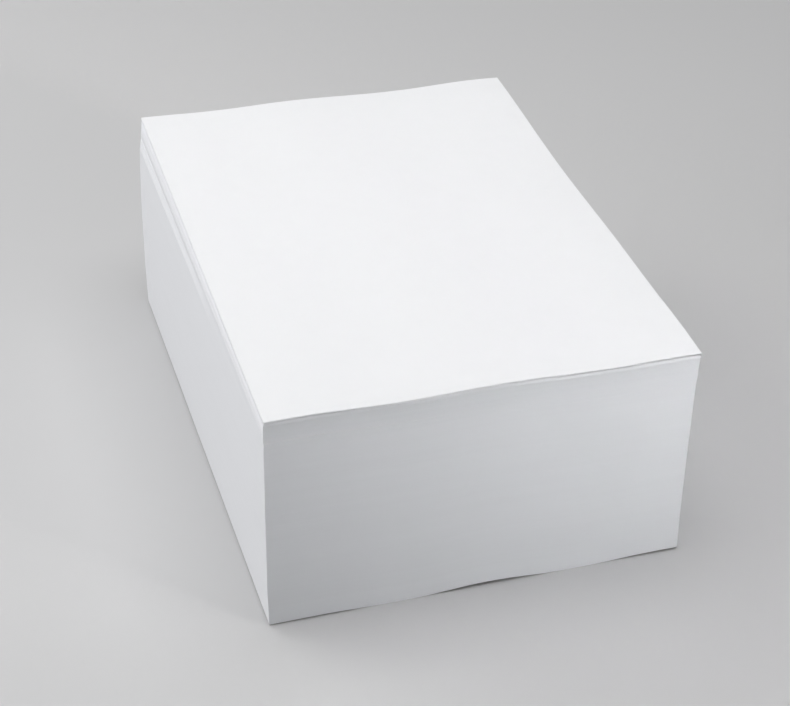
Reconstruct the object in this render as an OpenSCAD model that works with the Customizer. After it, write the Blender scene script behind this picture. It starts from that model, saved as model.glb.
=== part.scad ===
// A loose pile of plain white copier paper, out of its wrapper, as it stands on a table.
// The short side of the sheets lies along X, the long side along Y, and the pile stands on Z = 0.
// Most of the sheets were knocked square and lie as one block. Above the block they lie in thin
// bundles, each turned a little further than the one below, and the topmost sheets are loose.
// Damp has cockled the paper into shallow waves that run through every layer. On the floor the
// valleys of the waves touch down as flat strips, and the crests leave low gaps.

/* [Pile and paper] */
// Height of the pile where its waves have no crest
pile_h = 118.76; // [60:1:200]
// Width of a sheet
sheet_w = 210; // [150:5:300]
// Length of a sheet
sheet_l = 297; // [210:1:420]
// Thickness of one sheet
sheet_t = 0.104; // [0.09:0.002:0.13]
// Air between two bundles
air_gap = 0.04; // [0.04:0.01:0.1]

/* [Sheets in the bundles] */
// Bundles that make the ledge on the left side
ledge_bundles = 2; // [1:1:3]
// Sheets in one bundle of the ledge
ledge_sheets = 24; // [12:1:30]
// Sheets in the upright bundle above the ledge
upright_sheets = 26; // [16:1:50]
// Bundles that fan out below the top
fan_bundles = 5; // [2:1:6]
// Sheets in one bundle of the fan
fan_sheets = 14; // [8:1:24]
// Sheets in the bundle that stands proud at the front, under the loose sheets
lip_sheets = 12; // [6:1:20]
// Loose single sheets below the top sheet
loose_sheets = 4; // [2:1:8]

/* [How the layers lie] */
// Turn of the block's foot, counter-clockwise from above, in degrees
block_turn = 0.24; // [-0.4:0.02:0.4]
// Turn of the ledge's lowest sheet
ledge_turn = 0.02; // [-0.4:0.02:0.4]
// Turn of the upright bundle
upright_turn = -0.22; // [-0.4:0.02:0.4]
// Turn of the fan's highest sheet
fan_turn = -0.34; // [-0.6:0.02:0.4]
// Turn of the top sheet
top_turn = -0.3; // [-0.6:0.02:0.4]
// Shift of the block's foot along X
block_shift = -0.7; // [-2:0.05:2]
// How far the block's middle leans out past its foot
block_belly = 0.55; // [0:0.05:1]
// Shift of the ledge's lowest sheet along X
ledge_shift = -0.6; // [-2:0.05:2]
// Shift of the upright bundle along X
upright_shift = -0.05; // [-2:0.05:2]
// Shift of the fan's highest sheet along X
fan_shift = 0.3; // [-2:0.05:2]
// Shift of the top sheet along X
top_shift = 0.4; // [-2:0.05:2]
// Distance from the block's shift along Y to the front, for the top sheet
front_creep = 0.9; // [0:0.05:2]

/* [Waves] */
// Height of the main crest where the pile stands on the floor
floor_crest = 2.0; // [0.5:0.1:4]
// Height of the main crest at the top
top_crest = 1.4; // [0.5:0.1:4]
// Rise of the back edge's left corner
corner_rise = 2.0; // [0:0.1:4]
// Droop of the right edge behind its middle
edge_droop = 2.15; // [0:0.1:4]
// Lift of the top sheet's front edge off the sheets below
front_lift = 0.35; // [0.1:0.05:1]

/* [Hidden] */

paper_white = [0.93, 0.94, 0.95];

// Divisions of a layer across and along, and of the block's underside across
steps_x = 16;
steps_y = 8;
foot_steps = 28;

// Crests of the waves, as [centre along X, height, reach to either side]
floor_crests = [
    [-110, 0.3 * floor_crest, 30], [-78, 0.45 * floor_crest, 33],
    [5, floor_crest, 40], [95, 0.6 * floor_crest, 42]];
front_crests = [
    [-85, 0.57 * top_crest, 42], [8, top_crest, 55], [92, 0.3 * top_crest, 30]];
back_crests = [
    [-110, corner_rise, 75], [-20, 1.15 * top_crest, 62], [88, 0.8 * top_crest, 42]];
// The droop and the front crest of the right edge, as [centre along Y, height, reach to either side]
right_edge_crests = [[42, -edge_droop, 100], [-122, 0.4 * edge_droop, 42]];

// Height of the back edge over the front edge, where neither has a crest
back_rise = 0.5;
// How far the crests of the right edge reach in from it
edge_depth = 50;
// Where the top sheet lies down on the sheets below, along X, and the reach of that place
lie_down_at = -8;
lie_down_reach = 70;
// How far in from the front edge the top sheet is lifted
lift_depth = 45;
// Where along Y the ledge's edge and the upright bundle's edge cross, so the ledge runs out there
ledge_tip = -20;
// How far the lip bundle is pulled out to the front, and how far it turned on the way from the
// fan's turn to the top sheet's
lip_pull = 0.35;
lip_turned = 0.7;
// How far the loose sheets slid to the right and to the left, less for each one higher up, how they
// twisted then, and how far they slid along Y
slide_right = 0.2;
slide_left = 0.12;
twist_right = 0.08;
twist_left = 0.02;
slide_along = 0.3;
slide_angle = 150;

// How the block leans, as [share of its height, share of the belly, share of the turn and shift left]
block_lean = [[0, 0, 1], [0.2, 0.85, 1], [0.6, 1, 1], [0.8, 0.7, 0.7], [1, 0, 0]];

// Height from the underside of one bundle to that of the next
ledge_pitch = ledge_sheets * sheet_t + air_gap;
upright_pitch = upright_sheets * sheet_t + air_gap;
fan_pitch = fan_sheets * sheet_t + air_gap;
lip_pitch = lip_sheets * sheet_t + air_gap;
loose_pitch = sheet_t + air_gap;

// What lies on the block, and the sheets in the block, which fill the rest of the pile's height
over_block = air_gap + ledge_bundles * ledge_pitch + upright_pitch + fan_bundles * fan_pitch
    + lip_pitch + loose_sheets * loose_pitch + sheet_t;
block_sheets = round((pile_h - over_block) / sheet_t);

// Levels, measured where a layer has no crest
block_top = block_sheets * sheet_t;
ledge_level = block_top + air_gap;
upright_level = ledge_level + ledge_bundles * ledge_pitch;
fan_level = upright_level + upright_pitch;
lip_level = fan_level + fan_bundles * fan_pitch;
loose_level = lip_level + lip_pitch;
top_level = loose_level + loose_sheets * loose_pitch;

// A value on the way from a to b, and the smooth step between 0 and 1
function mix(a, b, t) = a + (b - a) * t;
function ease(t) = (1 - cos(180 * min(max(t, 0), 1))) / 2;

// Height of one crest at a place x, and of all the crests in a list
function crest(x, at, height, reach) = height * (1 - ease(abs(x - at) / reach));
function crests(x, list) = [for (c = list) crest(x, c[0], c[1], c[2])] * [for (c = list) 1];

// How high the back edge stands over the front edge, and the height of the right edge's crests
function back_over_front(x) = back_rise + crests(x, back_crests) - crests(x, front_crests);
function right_edge(x, y) = crests(y, right_edge_crests)
    * ease((x - sheet_w / 2 + edge_depth) / edge_depth);

// Height of a layer's surface at a point. The waves of the floor change into those of the top on the
// way up, and what changes along Y starts above the block.
function along_x(x, level) = mix(crests(x, floor_crests), crests(x, front_crests), level / top_level);
function along_y(x, y) = back_over_front(x) * ease(y / sheet_l + 1 / 2) + right_edge(x, y);
function above_block(level) = max(0, (level - block_top) / (top_level - block_top));
function height_at(x, y, level) = level + along_x(x, level) + above_block(level) * along_y(x, y);

// Lift of the top sheet off the sheets below, which fades away from the front edge
function lifted(x, y) = front_lift * (1 - crest(x, lie_down_at, 1, lie_down_reach))
    * ease((lift_depth - sheet_l / 2 - y) / lift_depth);

// A place is [shift along X, shift along Y, turn]. Here is a point of a sheet in that place.
function placed(u, v, place) = [
    place[0] + u * cos(place[2]) - v * sin(place[2]),
    place[1] + u * sin(place[2]) + v * cos(place[2])];

// The places of the layers
creep_at = [for (level = [ledge_level, upright_level, lip_level, top_level])
    front_creep / 2 - front_creep * above_block(level)];
ledge_place = [ledge_shift, creep_at[0], ledge_turn];
upright_place = [upright_shift, creep_at[1], upright_turn];
fan_place = [fan_shift, creep_at[2], fan_turn];
top_place = [top_shift, creep_at[3], top_turn];
// The ledge's highest sheet is still turned less than the upright bundle, about the ledge's tip
ledge_last_turn = mix(ledge_turn, upright_turn, 0.5);
ledge_last_place = [
    upright_shift + ledge_tip * sin(ledge_last_turn - upright_turn), creep_at[1], ledge_last_turn];
lip_place = [
    mix(fan_shift, top_shift, 0.5),
    creep_at[3] - lip_pull,
    mix(fan_turn, top_turn, lip_turned)];
// The loose sheets slid to either side of the top sheet in turn
function loose_place(i) = top_place + [
    (i % 2 == 0 ? slide_right : -slide_left) / i,
    slide_along * cos(slide_angle * i),
    i % 2 == 0 ? twist_right : twist_left];

// The waves of the block between its underside and its crown. They run along Y, and are wider and
// longer than the outline that is cut from them.
module block_waves() {
    foot = [for (i = [-2 : foot_steps + 2]) let (x = (i / foot_steps - 1 / 2) * sheet_w)
        [x, crests(x, floor_crests)]];
    crown = [for (i = [steps_x + 1 : -1 : -1]) let (x = (i / steps_x - 1 / 2) * sheet_w)
        [x, height_at(x, 0, block_top)]];
    rotate([90, 0, 0])
        linear_extrude(height = sheet_l + sheet_w, center = true)
            polygon(concat(foot, crown));
}

// The outline of the squared block, which leans out a little between foot and top
module block_outline() {
    margin = floor_crest + top_crest;
    rings = concat([block_lean[0]], block_lean, [block_lean[len(block_lean) - 1]]);
    last = len(rings) - 1;
    corners = [[-1, -1], [1, -1], [1, 1], [-1, 1]] / 2;
    points = [for (k = [0 : last])
        let (z = k == 0 ? -margin : k == last ? block_top + margin : rings[k][0] * block_top,
             place = [mix(ledge_shift, block_shift, rings[k][2]) - block_belly * rings[k][1],
                 front_creep / 2, mix(ledge_turn, block_turn, rings[k][2])])
        for (c = corners)
            let (p = placed(c[0] * sheet_w, c[1] * sheet_l, place)) [p[0], p[1], z]];
    sides = [for (k = [0 : last - 1]) for (c = [0 : 3])
        [4 * k + c, 4 * k + 4 + c, 4 * k + 4 + (c + 1) % 4, 4 * k + (c + 1) % 4]];
    triangles = [for (s = sides) for (t = [[s[0], s[1], s[2]], [s[0], s[2], s[3]]]) t];
    foot = [0, 1, 2, 3];
    crown = [for (c = [3 : -1 : 0]) 4 * last + c];
    polyhedron(points, concat([foot], triangles, [crown]));
}

// A wavy layer of paper of a given thickness. It leans from the place of its lowest sheet to the
// place of its highest one. share is how much of the top sheet's lift it has.
module paper_layer(level, thick, low, high, share = 0) {
    across = steps_x + 1;
    size = across * (steps_y + 1);
    sides = [[level, low], [level + thick, high]];
    points = [for (s = sides) for (j = [0 : steps_y]) for (i = [0 : steps_x])
        let (p = placed((i / steps_x - 1 / 2) * sheet_w, (j / steps_y - 1 / 2) * sheet_l, s[1]))
        [p[0], p[1], height_at(p[0], p[1], s[0]) + share * lifted(p[0], p[1])]];
    cells = [for (j = [0 : steps_y - 1]) for (i = [0 : steps_x - 1]) j * across + i];
    halves = [[0, 1, across + 1], [0, across + 1, across]];
    under = [for (c = cells) for (t = halves) [for (n = t) c + n]];
    over = [for (t = under) [for (n = [2, 1, 0]) t[n] + size]];
    rim = concat(
        [for (i = [0 : steps_x]) i],
        [for (j = [1 : steps_y]) j * across + steps_x],
        [for (i = [1 : steps_x]) size - 1 - i],
        [for (j = [1 : steps_y - 1]) size - across - j * across]);
    walls = [for (n = [0 : len(rim) - 1]) let (a = rim[n], b = rim[(n + 1) % len(rim)])
        for (t = [[a, a + size, b + size], [a, b + size, b]]) t];
    polyhedron(points, concat(under, over, walls));
}

module squared_block() {
    color(paper_white)
        intersection() {
            block_waves();
            block_outline();
        }
}

module ledge_bundle(i) {
    color(paper_white)
        paper_layer(ledge_level + (i - 1) * ledge_pitch, ledge_sheets * sheet_t,
            mix(ledge_place, ledge_last_place, (i - 1) / ledge_bundles),
            mix(ledge_place, ledge_last_place, i / ledge_bundles));
}

module upright_bundle() {
    color(paper_white)
        paper_layer(upright_level, upright_sheets * sheet_t, upright_place, upright_place);
}

module fan_bundle(i) {
    color(paper_white)
        paper_layer(fan_level + (i - 1) * fan_pitch, fan_sheets * sheet_t,
            mix(upright_place, fan_place, (i - 1) / fan_bundles),
            mix(upright_place, fan_place, i / fan_bundles));
}

module lip_bundle() {
    color(paper_white)
        paper_layer(lip_level, lip_sheets * sheet_t, lip_place, lip_place);
}

module loose_sheet(i) {
    color(paper_white)
        paper_layer(loose_level + (i - 1) * loose_pitch, sheet_t, loose_place(i), loose_place(i),
            i / (loose_sheets + 1));
}

module top_sheet() {
    color(paper_white)
        paper_layer(top_level, sheet_t, top_place, top_place, 1);
}

squared_block();
for (i = [1 : ledge_bundles]) {
    ledge_bundle(i);
}
upright_bundle();
for (i = [1 : fan_bundles]) {
    fan_bundle(i);
}
lip_bundle();
for (i = [1 : loose_sheets]) {
    loose_sheet(i);
}
top_sheet();
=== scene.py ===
"""A loose pile of plain white copier paper, out of its wrapper, on a pale studio floor.

Every bundle of the pile is built sheet by sheet, by one Geometry Nodes tree that repeats the waves
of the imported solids. The sheets' edges are the ridges of its sides. Sizes are written in
millimetres here and given to the trees in metres.
"""
import math

import bpy
from mathutils import Matrix, Vector


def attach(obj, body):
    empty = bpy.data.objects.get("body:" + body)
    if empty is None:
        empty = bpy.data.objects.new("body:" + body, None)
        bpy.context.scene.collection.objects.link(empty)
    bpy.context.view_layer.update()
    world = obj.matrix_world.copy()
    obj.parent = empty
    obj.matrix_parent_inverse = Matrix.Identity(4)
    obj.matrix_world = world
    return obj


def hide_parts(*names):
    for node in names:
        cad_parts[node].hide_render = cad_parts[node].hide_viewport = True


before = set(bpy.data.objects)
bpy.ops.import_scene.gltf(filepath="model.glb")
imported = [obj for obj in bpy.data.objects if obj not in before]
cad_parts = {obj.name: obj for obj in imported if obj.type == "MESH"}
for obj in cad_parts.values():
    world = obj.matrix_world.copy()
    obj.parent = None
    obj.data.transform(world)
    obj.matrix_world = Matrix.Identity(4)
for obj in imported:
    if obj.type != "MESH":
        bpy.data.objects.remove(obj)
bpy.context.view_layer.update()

MM = 0.001

# How the sheets' edges stand in the sides of a bundle: the groove between two sheets, how far a
# packet of sheets slipped, and the sheets in a packet. The packets are numbered from PACKET_IDS, so
# that none of them draws the slip of a single sheet.
GROOVE, PACKET_SLIP = 0.008, 0.012
PACKET_SHEETS, PACKET_IDS = 17.0, 5000
# How far a single sheet slipped along X and Y: in the tight bundles, in the ledge, at the foot and
# the head of the fan, and at the top of the lip
TIGHT_SLIP, LEDGE_SLIP = (0.004, 0.004), (0.05, 0.006)
FOOT_SLIP, HEAD_SLIP, LIP_SLIP = (0.01, 0.006), (0.16, 0.02), (0.28, 0.02)
# The slip along X fades towards the front, as (share left, from Y, to Y)
LEDGE_FADE, FAN_FADE = (0.0, 10, -50), (0.6, 80, -140)
# Depth of the fine cockle in the paper, and its scale in the noise
COCKLE, COCKLE_SCALE = 0.1, 24.0

# The floor as it is seen, the floor as it bounces light, and the light of the room
FLOOR_LOOK = (0.60, 0.60, 0.605)
FLOOR_BOUNCE = (0.08, 0.08, 0.08)
SKY = 0.12

# The soft lights: place and aim in metres, size in metres, power in watts, and spread in degrees
LIGHTS = {
    "overhead": ((0.1, -0.1, 1.9), (0.1, -0.1, 0), 1.6, 21.3, 180),
    "left": ((-1.6, 0.3, 1.2), (0, 0, 0.06), 1.4, 5.4, 180),
    "low_left": ((-1.5, -0.2, 0.35), (-0.1, 0, 0.05), 0.9, 9.0, 180),
    "behind_left": ((-1.3, 1.3, 1.3), (0, 0, 0.06), 1.4, 15.5, 180),
    "right": ((0.9, -0.8, 0.45), (0.1, -0.15, 0.05), 0.4, 1.4, 180),
    "low_right": ((1.1, -1.3, 0.3), (0.14, -0.15, 0.2), 0.3, 0.362, 24),
    "foot_right": ((1.1, -1.3, 0.3), (0.2, -0.15, 0.08), 0.3, 0.095, 24),
}

# The camera: its place in millimetres, its three directions, and its lens
CAMERA_PLACE = (-262.58, -848.96, 641.95)
CAMERA_RIGHT = (0.95793, -0.28660, 0.01533)
CAMERA_UP = (0.14846, 0.54048, 0.82815)
CAMERA_FORWARD = (0.24563, 0.79104, -0.56029)
LENS, SENSOR_WIDTH = 91.33, 36.0

# The tones of the paper and of its cut edges, as (darkest, lightest)
PAPER_TONES = (0.857, 0.865, 0.880), (0.869, 0.877, 0.892)
EDGE_TONES = (0.833, 0.842, 0.869), (0.855, 0.864, 0.892)
# Scales of the cloudy formation, the fibres and the tooth of the paper, and of the rough cut
CLOUD_SCALE, FIBRE_SCALE, TOOTH_SCALE, CUT_SCALE = 120.0, 1400.0, 260.0, 1500.0
PAPER_BUMP, CUT_BUMP = 0.00003, 0.00002
# The strata in the cut edges: their scale along the sheets, and their scales from sheet to sheet,
# as one for single sheets, one for packets and one for broad bands, each with its share
STRATA_ALONG = 9
STRATA = [(1.3, 1.0, 0.35), (0.11, 2.0, 0.35), (0.025, 1.0, 0.3)]
# The noise stays mostly within these values
NOISE_LOW, NOISE_HIGH = 0.3, 0.7

# The sheets and the bundles, as in the solids
SHEET_W, SHEET_L, SHEET_T = 210.0, 297.0, 0.104
AIR_GAP = 0.04
PILE_H = 118.76
LEDGE_BUNDLES, LEDGE_SHEETS = 2, 24
UPRIGHT_SHEETS = 26
FAN_BUNDLES, FAN_SHEETS = 5, 14
LIP_SHEETS = 12
LOOSE_SHEETS = 4

# The waves, as in the solids: crests as (centre along X, height, reach to either side)
FLOOR_CRESTS = [(-110, 0.6, 30), (-78, 0.9, 33), (5, 2.0, 40), (95, 1.2, 42)]
FRONT_CRESTS = [(-85, 0.798, 42), (8, 1.4, 55), (92, 0.42, 30)]
BACK_CRESTS = [(-110, 2.0, 75), (-20, 1.61, 62), (88, 1.12, 42)]
BACK_RISE = 0.5
# The crests of the right edge, as (centre along Y, height, reach), and how far in they reach
RIGHT_EDGE_CRESTS = [(42, -2.15, 100), (-122, 0.86, 42)]
EDGE_DEPTH = 50
# The front edge of the top sheet is lifted a little less than in the solids, as its gap is narrow
FRONT_LIFT, LIE_DOWN_AT, LIE_DOWN_REACH, LIFT_DEPTH = 0.2, -8, 70, 45
FRONT_CREEP = 0.9

# How the sheets lie, as in the solids: shift along X, and turn in degrees
BLOCK_SHIFT, BLOCK_TURN = -0.7, 0.24
LEDGE_SHIFT, LEDGE_TURN = -0.6, 0.02
UPRIGHT_SHIFT, UPRIGHT_TURN = -0.05, -0.22
FAN_SHIFT, FAN_TURN = 0.3, -0.34
TOP_SHIFT, TOP_TURN = 0.4, -0.3
# Where along Y the last sheet of the ledge crosses the sheets above it
LEDGE_TIP = -20
# The block's sheets lie as the lowest one up to the held share of its height, and part of the way
# to the ledge at the knee
BLOCK_HELD, BLOCK_KNEE, BLOCK_KNEE_WAY = 0.6, 0.8, 0.3
# The block's belly, the share of it that has come at its bend, and the bend and its end as shares
# of the height
BLOCK_BELLY, BEND_SHARE, BELLY_BEND, BELLY_END = 0.55, 0.85, 0.2, 0.6
# The lip: its turn on the way to the top's, and its pull to the front at its foot and its head
LIP_TURNED, LIP_PULL, LIP_HEAD_PULL = 0.7, 0.35, 0.1
# The loose sheets slid and twisted right and left in turn, and slid along Y by the cosine of an
# angle that grows from sheet to sheet
SLIDE_RIGHT, SLIDE_LEFT, TWIST_RIGHT, TWIST_LEFT = 0.2, 0.12, 0.08, 0.02
SLIDE_ALONG, SLIDE_ANGLE = 0.3, 150

# Cells of the mesh across and along a bundle, and in the top sheet
CELLS, TOP_CELLS = (24, 16), (48, 64)
# The sockets of a colour Mix node: its factor and its two colours
MIX_FACTOR, MIX_DARK, MIX_LIGHT = 0, 6, 7

# Levels of the bundles, where the waves have no crest
over_block = (
    AIR_GAP
    + LEDGE_BUNDLES * (LEDGE_SHEETS * SHEET_T + AIR_GAP)
    + UPRIGHT_SHEETS * SHEET_T + AIR_GAP
    + FAN_BUNDLES * (FAN_SHEETS * SHEET_T + AIR_GAP)
    + LIP_SHEETS * SHEET_T + AIR_GAP
    + LOOSE_SHEETS * (SHEET_T + AIR_GAP)
    + SHEET_T
)
BLOCK_SHEETS = round((PILE_H - over_block) / SHEET_T)
BLOCK_TOP = BLOCK_SHEETS * SHEET_T
TOP_LEVEL = BLOCK_TOP + over_block - SHEET_T


class Field:
    """A number or a socket of a node tree that formulas can be written with."""

    def __init__(self, tree, value):
        self.tree, self.value = tree, value

    def math(self, operation, *others):
        node = self.tree.nodes.new("ShaderNodeMath")
        node.operation = operation
        for socket, operand in zip(node.inputs, (self, *others)):
            join(self.tree, operand, socket)
        return Field(self.tree, node.outputs[0])

    def __add__(self, other):
        return self.math("ADD", other)

    def __sub__(self, other):
        return self.math("SUBTRACT", other)

    def __rsub__(self, other):
        return Field(self.tree, other).math("SUBTRACT", self)

    def __mul__(self, other):
        return self.math("MULTIPLY", other)

    def __truediv__(self, other):
        return self.math("DIVIDE", other)

    __rmul__ = __mul__

    def at_least(self, other):
        return self.math("MAXIMUM", other)

    def at_most(self, other):
        return self.math("MINIMUM", other)

    def parts(self):
        """The X, Y and Z of a vector."""
        node = self.tree.nodes.new("ShaderNodeSeparateXYZ")
        join(self.tree, self, node.inputs[0])
        return [Field(self.tree, socket) for socket in node.outputs]


def join(tree, operand, socket):
    """Links a field or socket to a socket, or sets the socket to a plain value."""
    operand = operand.value if isinstance(operand, Field) else operand
    if isinstance(operand, bpy.types.NodeSocket):
        tree.links.new(operand, socket)
    else:
        socket.default_value = operand


def vector(tree, x, y, z):
    node = tree.nodes.new("ShaderNodeCombineXYZ")
    for socket, operand in zip(node.inputs, (x, y, z)):
        join(tree, operand, socket)
    return Field(tree, node.outputs[0])


def stretch(field, low, high):
    """A field mapped so that low becomes 0 and high becomes 1, and no further."""
    return ((field - low) / (high - low)).at_least(0).at_most(1)


def new_tree(name, inputs, outputs):
    """A Geometry Nodes tree, its inputs as fields by name, and its output node."""
    tree = bpy.data.node_groups.new(name, "GeometryNodeTree")
    for label, kind in inputs:
        tree.interface.new_socket(name=label, in_out="INPUT", socket_type="NodeSocket" + kind)
    for label, kind in outputs:
        tree.interface.new_socket(name=label, in_out="OUTPUT", socket_type="NodeSocket" + kind)
    source = tree.nodes.new("NodeGroupInput")
    fields = {label: Field(tree, source.outputs[label]) for label, _ in inputs}
    return tree, fields, tree.nodes.new("NodeGroupOutput")


def use(group, tree, **values):
    """Puts a group into a tree. An input's name is written with underscores for its spaces."""
    node = tree.nodes.new("GeometryNodeGroup")
    node.node_tree = group
    for label, value in values.items():
        join(tree, value, node.inputs[label.replace("_", " ")])
    return Field(tree, node.outputs[0])


def captured(tree, geometry, domain, field):
    """Keeps a yes-or-no field as it is now, and gives it and the geometry that carries it."""
    node = tree.nodes.new("GeometryNodeCaptureAttribute")
    node.domain = domain
    node.capture_items.new("BOOLEAN", "Kept")
    tree.links.new(geometry, node.inputs["Geometry"])
    join(tree, field, node.inputs["Kept"])
    return Field(tree, node.outputs["Kept"]), node.outputs["Geometry"]


def crest_tree():
    """The height of one smooth crest at X."""
    tree, give, out = new_tree(
        "crest",
        [("X", "Float"), ("At", "Float"), ("Height", "Float"), ("Reach", "Float")],
        [("Height", "Float")],
    )
    away = ((give["X"] - give["At"]).math("ABSOLUTE") / give["Reach"]).at_most(1)
    join(tree, give["Height"] * ((away * math.pi).math("COSINE") + 1) / 2, out.inputs[0])
    return tree


def waves_tree(crest):
    """The height of a sheet's surface at X and Y, from its level in the flat pile."""
    tree, give, out = new_tree(
        "waves through the pile",
        [("X", "Float"), ("Y", "Float"), ("Level", "Float"), ("Lift", "Float"), ("Cockle", "Float")],
        [("Height", "Float")],
    )
    x, y, level = give["X"], give["Y"], give["Level"]

    def one(at, height, reach, along=x):
        return use(crest, tree, X=along, At=at * MM, Height=height, Reach=reach * MM)

    def crests(rows, along=x):
        total = Field(tree, 0.0)
        for at, height, reach in rows:
            total = total + one(at, height * MM, reach, along)
        return total

    floor, front, back = crests(FLOOR_CRESTS), crests(FRONT_CRESTS), crests(BACK_CRESTS)
    up = level / (TOP_LEVEL * MM)
    along_x = floor + (front - floor) * up
    to_back = one(SHEET_L / 2, 1.0, SHEET_L, along=y.at_most(SHEET_L / 2 * MM))
    near_edge = one(SHEET_W / 2, 1.0, EDGE_DEPTH, along=x.at_most(SHEET_W / 2 * MM))
    rise = (back - front + BACK_RISE * MM) * to_back + near_edge * crests(RIGHT_EDGE_CRESTS, y)

    noise = tree.nodes.new("ShaderNodeTexNoise")
    noise.inputs["Scale"].default_value = COCKLE_SCALE
    noise.inputs["Detail"].default_value = 1.0
    join(tree, vector(tree, x, y, 0.0), noise.inputs["Vector"])
    rise = rise - give["Cockle"] * Field(tree, noise.outputs[0])

    above = ((level - BLOCK_TOP * MM) / ((TOP_LEVEL - BLOCK_TOP) * MM)).at_least(0)
    lies = one(LIE_DOWN_AT, 1.0, LIE_DOWN_REACH)
    near_front = one(-SHEET_L / 2, 1.0, LIFT_DEPTH, along=y.at_least(-SHEET_L / 2 * MM))
    lift = give["Lift"] * (1 - lies) * near_front
    join(tree, level + along_x + above * rise + lift, out.inputs[0])
    return tree


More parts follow.
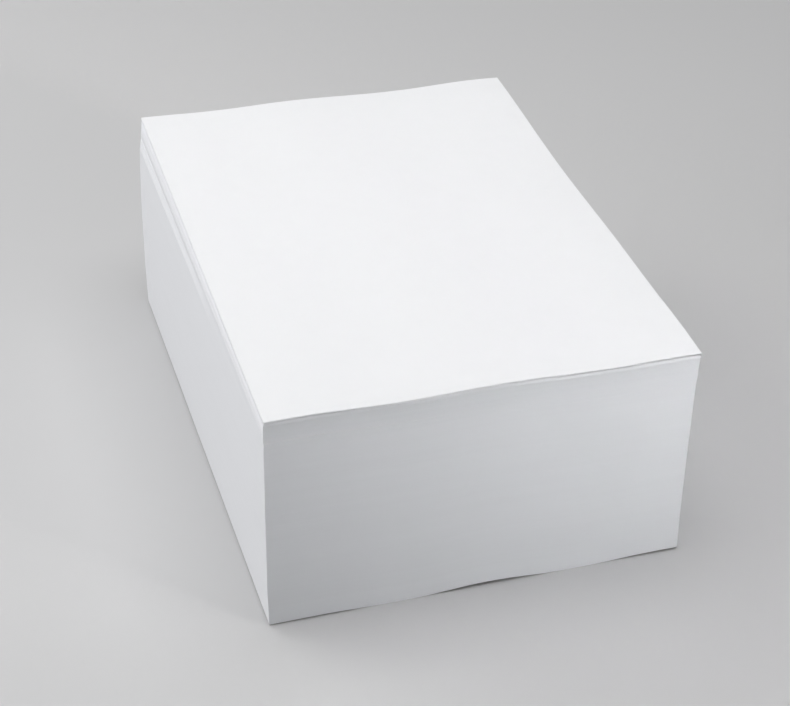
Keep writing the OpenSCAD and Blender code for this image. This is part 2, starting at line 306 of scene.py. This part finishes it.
def bundle_tree(waves):
    """A bundle of sheets: a block with one ridge in its sides for every sheet."""
    tree, give, out = new_tree(
        "bundle of sheets",
        [
            ("Width", "Float"), ("Length", "Float"), ("Sheet Thickness", "Float"),
            ("Sheets", "Int"), ("Cells Across", "Int"), ("Cells Along", "Int"),
            ("Level", "Float"), ("Low Place", "Vector"), ("High Place", "Vector"),
            ("Held Share", "Float"), ("Knee Share", "Float"), ("Knee Way", "Float"),
            ("Belly", "Float"), ("Lift", "Float"), ("Cockle", "Float"),
            ("Groove", "Float"), ("Low Slip", "Vector"), ("High Slip", "Vector"),
            ("Front Share", "Float"), ("Fade From", "Float"), ("Fade To", "Float"),
            ("Packet Slip", "Float"), ("Packet Sheets", "Float"), ("Seed", "Int"),
            ("Paper", "Material"), ("Paper Edges", "Material"),
        ],
        [("Geometry", "Geometry")],
    )
    sheets = give["Sheets"]
    rings = sheets * 2

    box = tree.nodes.new("GeometryNodeMeshCube")
    box.inputs["Size"].default_value = (1, 1, 1)
    join(tree, give["Cells Across"] + 1, box.inputs["Vertices X"])
    join(tree, give["Cells Along"] + 1, box.inputs["Vertices Y"])
    join(tree, rings + 1, box.inputs["Vertices Z"])

    u, v, w = Field(tree, tree.nodes.new("GeometryNodeInputPosition").outputs[0]).parts()
    up = w + 0.5
    ring = (up * rings).math("ROUND")
    ridge = ring.math("MODULO", 2)

    # How far a sheet at this height may have slipped along X and Y. The edges stand back by as
    # much, so no sheet slips out of the bundle's solid.
    low, high = give["Low Slip"].parts(), give["High Slip"].parts()
    room_x, room_y, _ = [a + (b - a) * up for a, b in zip(low, high)]
    faded = stretch(v * give["Length"], give["Fade From"], give["Fade To"])
    room_x = room_x * (1 - (1 - give["Front Share"]) * faded)
    inset = give["Packet Slip"] + give["Groove"] * (1 - ridge)
    u = u * (give["Width"] - (room_x + inset) * 2)
    v = v * (give["Length"] - (room_y + inset) * 2)

    def slipped(sheet):
        """How far a sheet slipped along X and Y, by itself and with its packet."""
        total = [Field(tree, 0.0), Field(tree, 0.0)]
        sheet = sheet.at_least(0).at_most(sheets - 1)
        packet = (sheet / give["Packet Sheets"]).math("FLOOR") + PACKET_IDS
        for number, room in ((sheet, (room_x, room_y)), (packet, [give["Packet Slip"]] * 2)):
            draw = tree.nodes.new("FunctionNodeRandomValue")
            draw.data_type = "FLOAT_VECTOR"
            draw.inputs[0].default_value = (-1, -1, -1)
            draw.inputs[1].default_value = (1, 1, 1)
            join(tree, number, draw.inputs["ID"])
            join(tree, give["Seed"], draw.inputs["Seed"])
            drawn = Field(tree, draw.outputs[0]).parts()
            total = [t + d * most for t, d, most in zip(total, drawn, room)]
        return total

    # A groove lies midway between the sheets below and above it
    below = slipped(((ring - 1) / 2).math("FLOOR"))
    above = slipped((ring / 2).math("FLOOR"))
    slip_x, slip_y = [(a + b) / 2 for a, b in zip(below, above)]

    # From the low place to the high one: held for a share of the height, then part of the way to
    # a knee, then the rest. The belly leans out till then.
    held, knee, part = give["Held Share"], give["Knee Share"], give["Knee Way"]
    way = part * stretch(up, held, knee) + (1 - part) * stretch(up, knee, 1)
    lean = BEND_SHARE * stretch(up, 0, BELLY_BEND)
    lean = lean + (1 - BEND_SHARE) * stretch(up, BELLY_BEND, BELLY_END)
    lean = give["Belly"] * lean * (1 - way)
    low, high = give["Low Place"].parts(), give["High Place"].parts()
    shift_x, shift_y, turn = [a + (b - a) * way for a, b in zip(low, high)]
    cos, sin = turn.math("COSINE"), turn.math("SINE")
    x = shift_x + slip_x - lean + u * cos - v * sin
    y = shift_y + slip_y + u * sin + v * cos

    level = give["Level"] + sheets * give["Sheet Thickness"] * up
    height = use(waves, tree, X=x, Y=y, Level=level, Lift=give["Lift"], Cockle=give["Cockle"])

    # The sides are told from the flat faces, and the rims found, while the box is still square
    normal = Field(tree, tree.nodes.new("GeometryNodeInputNormal").outputs[0])
    upright = normal.parts()[2].math("ABSOLUTE").math("LESS_THAN", 0.5)
    angle = Field(tree, tree.nodes.new("GeometryNodeInputMeshEdgeAngle").outputs[0])
    made = box.outputs["Mesh"]
    edges, made = captured(tree, made, "FACE", upright)
    rims, made = captured(tree, made, "EDGE", angle.math("GREATER_THAN", 0.5))

    number = ring / 2 + give["Level"] / give["Sheet Thickness"]
    for kind, values in (
        ("GeometryNodeSetShadeSmooth", {"Selection": 1 - edges, "Shade Smooth": True}),
        ("GeometryNodeSetShadeSmooth", {"Selection": rims, "Shade Smooth": False}),
        ("GeometryNodeStoreNamedAttribute", {"Name": "sheet", "Value": number}),
        ("GeometryNodeSetPosition", {"Position": vector(tree, x, y, height)}),
        ("GeometryNodeRealizeInstances", {}),
        ("GeometryNodeSetMaterial", {"Material": give["Paper"]}),
        ("GeometryNodeSetMaterial", {"Material": give["Paper Edges"], "Selection": edges}),
    ):
        node = tree.nodes.new(kind)
        if "Shade Smooth" in values:
            node.domain = "FACE" if values["Shade Smooth"] else "EDGE"
        for label, value in values.items():
            join(tree, value, node.inputs[label])
        tree.links.new(made, node.inputs["Geometry"])
        made = node.outputs["Geometry"]
    tree.links.new(made, out.inputs["Geometry"])
    return tree


class Material:
    """A Principled material that is built by linking nodes to it."""

    def __init__(self, name, **plain):
        self.material = bpy.data.materials.new(name)
        self.material.use_nodes = True
        self.tree = self.material.node_tree
        self.shader = self.tree.nodes["Principled BSDF"]
        for label, value in plain.items():
            self.shader.inputs[label.replace("_", " ")].default_value = value

    def noise(self, scale, detail, where, roughness=0.5):
        node = self.tree.nodes.new("ShaderNodeTexNoise")
        node.inputs["Scale"].default_value = scale
        node.inputs["Detail"].default_value = detail
        node.inputs["Roughness"].default_value = roughness
        join(self.tree, where, node.inputs["Vector"])
        return Field(self.tree, node.outputs[0])

    def place(self):
        node = self.tree.nodes.new("ShaderNodeTexCoord")
        return Field(self.tree, node.outputs["Object"])

    def tone(self, share, dark, light):
        """A colour between two tones, as the base colour."""
        node = self.tree.nodes.new("ShaderNodeMix")
        node.data_type = "RGBA"
        join(self.tree, share, node.inputs[MIX_FACTOR])
        node.inputs[MIX_DARK].default_value = (*dark, 1)
        node.inputs[MIX_LIGHT].default_value = (*light, 1)
        self.tree.links.new(node.outputs[2], self.shader.inputs["Base Color"])

    def bump(self, height, depth):
        node = self.tree.nodes.new("ShaderNodeBump")
        node.inputs["Strength"].default_value = 1.0
        node.inputs["Distance"].default_value = depth
        join(self.tree, height, node.inputs["Height"])
        self.tree.links.new(node.outputs[0], self.shader.inputs["Normal"])


def paper():
    """Uncoated white copier paper: cloudy formation, short fibres, a dull even sheen."""
    made = Material("copier_paper", Roughness=0.7, Specular_IOR_Level=0.15)
    where = made.place()
    cloud = made.noise(CLOUD_SCALE, 3.0, where)
    fibre = made.noise(FIBRE_SCALE, 4.0, where, 0.6)
    tooth = made.noise(TOOTH_SCALE, 2.0, where)
    made.tone(stretch(cloud * 0.5 + fibre * 0.5, NOISE_LOW, NOISE_HIGH), *PAPER_TONES)
    made.bump(fibre * 0.6 + tooth * 0.4, PAPER_BUMP)
    return made.material


def paper_edges():
    """The cut edges of many sheets: fine strata that follow the sheets, a little duller."""
    made = Material("paper_edges", Roughness=0.75, Specular_IOR_Level=0.2)
    where = made.place()
    sheet = made.tree.nodes.new("ShaderNodeAttribute")
    sheet.attribute_name = "sheet"
    number = Field(made.tree, sheet.outputs["Fac"])
    x, y, _ = where.parts()
    along = [x * STRATA_ALONG, y * STRATA_ALONG]
    strata = Field(made.tree, 0.0)
    for scale, detail, share in STRATA:
        strata = strata + made.noise(1.0, detail, vector(made.tree, *along, number * scale)) * share
    made.tone(stretch(strata, NOISE_LOW, NOISE_HIGH), *EDGE_TONES)
    made.bump(made.noise(CUT_SCALE, 3.0, where), CUT_BUMP)
    return made.material


def spot(low, high, way):
    """The values on the way between two rows of values, such as the places of two sheets."""
    return [a + (b - a) * way for a, b in zip(low, high)]


def creep(level):
    """The shift along Y of a sheet at a level, as the sheets above the block crept to the front."""
    return FRONT_CREEP / 2 - FRONT_CREEP * max(0, (level - BLOCK_TOP) / (TOP_LEVEL - BLOCK_TOP))


def slip(reach):
    """How far a sheet may slip along X and Y, as a vector in metres."""
    return (reach[0] * MM, reach[1] * MM, 0.0)


def fade(row):
    """The inputs for a slip that fades along Y."""
    share, start, end = row
    return {"Front Share": share, "Fade From": start * MM, "Fade To": end * MM}


def bundles():
    """Every bundle as (node, sheets, level, low place, high place, extra inputs), from the floor up."""
    level = BLOCK_TOP + AIR_GAP
    upright_level = level + LEDGE_BUNDLES * (LEDGE_SHEETS * SHEET_T + AIR_GAP)
    fan_level = upright_level + UPRIGHT_SHEETS * SHEET_T + AIR_GAP
    lip_level = fan_level + FAN_BUNDLES * (FAN_SHEETS * SHEET_T + AIR_GAP)

    # A place is a shift along X, a shift along Y and a turn
    block = [BLOCK_SHIFT, creep(0), BLOCK_TURN]
    ledge = [LEDGE_SHIFT, creep(level), LEDGE_TURN]
    upright = [UPRIGHT_SHIFT, creep(upright_level), UPRIGHT_TURN]
    last_turn = (LEDGE_TURN + UPRIGHT_TURN) / 2
    tip = LEDGE_TIP * math.sin(math.radians(last_turn - UPRIGHT_TURN))
    ledge_last = [UPRIGHT_SHIFT + tip, upright[1], last_turn]
    fan = [FAN_SHIFT, creep(lip_level), FAN_TURN]
    top = [TOP_SHIFT, creep(TOP_LEVEL), TOP_TURN]
    lip_shift = (FAN_SHIFT + TOP_SHIFT) / 2
    lip_turn = FAN_TURN + (TOP_TURN - FAN_TURN) * LIP_TURNED
    lip = [lip_shift, top[1] - LIP_PULL, lip_turn]
    lip_head = [lip_shift, top[1] - LIP_HEAD_PULL, lip_turn]

    yield "squared_block", BLOCK_SHEETS, 0, block, ledge, {
        "Held Share": BLOCK_HELD, "Knee Share": BLOCK_KNEE, "Knee Way": BLOCK_KNEE_WAY,
        "Belly": BLOCK_BELLY * MM, "Cells Along": 1}
    for i in range(LEDGE_BUNDLES):
        way = [spot(ledge, ledge_last, (i + n) / LEDGE_BUNDLES) for n in (0, 1)]
        yield f"ledge_bundle_{i + 1}", LEDGE_SHEETS, level, *way, {
            "Low Slip": slip(LEDGE_SLIP), "High Slip": slip(LEDGE_SLIP), **fade(LEDGE_FADE)}
        level += LEDGE_SHEETS * SHEET_T + AIR_GAP
    yield "upright_bundle", UPRIGHT_SHEETS, level, upright, upright, {}
    level += UPRIGHT_SHEETS * SHEET_T + AIR_GAP
    for i in range(FAN_BUNDLES):
        way = [spot(upright, fan, (i + n) / FAN_BUNDLES) for n in (0, 1)]
        slips = [slip(spot(FOOT_SLIP, HEAD_SLIP, (i + n) / FAN_BUNDLES)) for n in (0, 1)]
        yield f"fan_bundle_{i + 1}", FAN_SHEETS, level, *way, {
            "Low Slip": slips[0], "High Slip": slips[1], **fade(FAN_FADE)}
        level += FAN_SHEETS * SHEET_T + AIR_GAP
    yield "lip_bundle", LIP_SHEETS, level, lip, lip_head, {
        "Low Slip": slip(HEAD_SLIP), "High Slip": slip(LIP_SLIP), **fade(FAN_FADE)}
    level += LIP_SHEETS * SHEET_T + AIR_GAP
    single = {"Packet Slip": 0.0, "Low Slip": (0, 0, 0), "High Slip": (0, 0, 0)}
    for i in range(1, LOOSE_SHEETS + 1):
        to_right = i % 2 == 0
        slid = (SLIDE_RIGHT if to_right else -SLIDE_LEFT) / i
        swayed = SLIDE_ALONG * math.cos(math.radians(SLIDE_ANGLE * i))
        twist = TWIST_RIGHT if to_right else TWIST_LEFT
        loose = [top[0] + slid, top[1] + swayed, top[2] + twist]
        yield f"loose_sheet_{i}", 1, level, loose, loose, {
            **single, "Lift": FRONT_LIFT * MM * i / (LOOSE_SHEETS + 1)}
        level += SHEET_T + AIR_GAP
    yield "top_sheet", 1, level, top, top, {
        **single, "Lift": FRONT_LIFT * MM, "Cells Across": TOP_CELLS[0], "Cells Along": TOP_CELLS[1]}


def to_metres(place):
    """A place with its shifts in metres and its turn in radians, as the tree takes it."""
    return (place[0] * MM, place[1] * MM, math.radians(place[2]))


def build_bundle(tree, node, sheets, level, low, high, extra, seed, finishes):
    """A bundle as a plain mesh that stands for its solid."""
    mesh = bpy.data.meshes.new(node + "_start")
    start = bpy.data.objects.new(node + "_start", mesh)
    bpy.context.scene.collection.objects.link(start)
    modifier = start.modifiers.new("sheets", "NODES")
    modifier.node_group = tree
    values = {
        "Width": SHEET_W * MM, "Length": SHEET_L * MM, "Sheet Thickness": SHEET_T * MM,
        "Sheets": sheets, "Cells Across": CELLS[0], "Cells Along": CELLS[1],
        "Level": level * MM, "Low Place": to_metres(low), "High Place": to_metres(high),
        "Held Share": 0.0, "Knee Share": 0.5, "Knee Way": 0.5, "Belly": 0.0,
        "Lift": 0.0, "Cockle": COCKLE * MM,
        "Groove": GROOVE * MM, "Low Slip": slip(TIGHT_SLIP), "High Slip": slip(TIGHT_SLIP),
        "Front Share": 1.0, "Fade From": 0.0, "Fade To": -1.0,
        "Packet Slip": PACKET_SLIP * MM, "Packet Sheets": PACKET_SHEETS, "Seed": seed,
        "Paper": finishes[0], "Paper Edges": finishes[1],
        **extra,
    }
    for item in tree.interface.items_tree:
        if item.in_out == "INPUT":
            modifier[item.identifier] = values[item.name]
    ready = start.evaluated_get(bpy.context.evaluated_depsgraph_get())
    made = bpy.data.meshes.new_from_object(ready)
    start.modifiers.remove(modifier)
    bpy.data.objects.remove(start)
    piece = bpy.data.objects.new(node + "_sheets", made)
    bpy.context.scene.collection.objects.link(piece)
    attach(piece, "root")
    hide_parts(node)
    "paper" if sheets == 1 else "paper_edges"
    return piece


def soft_light(name, at, aim, size, power, spread):
    """A square studio light at a point in metres, aimed at another."""
    lamp = bpy.data.lights.new(name, "AREA")
    lamp.shape = "SQUARE"
    lamp.size = size
    lamp.energy = power
    lamp.spread = math.radians(spread)
    made = bpy.data.objects.new(name, lamp)
    made.location = at
    made.rotation_euler = (Vector(aim) - Vector(at)).to_track_quat("-Z", "Y").to_euler()
    made.visible_camera = False
    made.visible_glossy = False
    bpy.context.scene.collection.objects.link(made)


def seen_directly(tree):
    """1 where the camera, a reflection or glass looks, 0 for light that bounces."""
    node = tree.nodes.new("ShaderNodeLightPath")
    rays = [Field(tree, node.outputs[f"Is {kind} Ray"]) for kind in ("Camera", "Glossy", "Transmission")]
    return rays[0].at_least(rays[1]).at_least(rays[2])


def pale_floor():
    """A wide plain floor. It looks pale, and bounces the little light of a dark studio floor."""
    mesh = bpy.data.meshes.new("floor")
    reach = 15.0
    corners = [(-reach, -reach, 0), (reach, -reach, 0), (reach, reach, 0), (-reach, reach, 0)]
    mesh.from_pydata(corners, [], [(0, 1, 2, 3)])
    floor = bpy.data.objects.new("floor", mesh)
    bpy.context.scene.collection.objects.link(floor)
    made = Material("floor", Roughness=0.9, Specular_IOR_Level=0.1)
    made.tone(seen_directly(made.tree), FLOOR_BOUNCE, FLOOR_LOOK)
    mesh.materials.append(made.material)


def studio_world():
    """A dim even light, behind which the camera sees the tone of the floor."""
    world = bpy.data.worlds.new("studio")
    world.use_nodes = True
    bpy.context.scene.world = world
    tree = world.node_tree
    node = tree.nodes["Background"]
    seen = seen_directly(tree)
    mix = tree.nodes.new("ShaderNodeMix")
    mix.data_type = "RGBA"
    join(tree, seen, mix.inputs[MIX_FACTOR])
    mix.inputs[MIX_DARK].default_value = (SKY, SKY, SKY, 1)
    mix.inputs[MIX_LIGHT].default_value = (*FLOOR_LOOK, 1)
    tree.links.new(mix.outputs[2], node.inputs["Color"])


def photo_camera():
    """The camera of the photograph, which was fitted to the pile's seven visible corners."""
    lens = bpy.data.cameras.new("camera")
    lens.sensor_fit = "HORIZONTAL"
    lens.sensor_width = SENSOR_WIDTH
    lens.lens = LENS
    made = bpy.data.objects.new("camera", lens)
    back = -Vector(CAMERA_FORWARD)
    turned = Matrix((CAMERA_RIGHT, CAMERA_UP, back)).transposed().to_4x4()
    made.matrix_world = Matrix.Translation(Vector(CAMERA_PLACE) * MM) @ turned
    bpy.context.scene.collection.objects.link(made)
    bpy.context.scene.camera = made


photo_camera()
pale_floor()
studio_world()
for name, light in LIGHTS.items():
    soft_light(name, *light)

tree = bundle_tree(waves_tree(crest_tree()))
finishes = paper(), paper_edges()
for seed, bundle in enumerate(bundles(), 1):
    build_bundle(tree, *bundle, seed, finishes)

bpy.context.scene.view_settings.view_transform = "Standard"
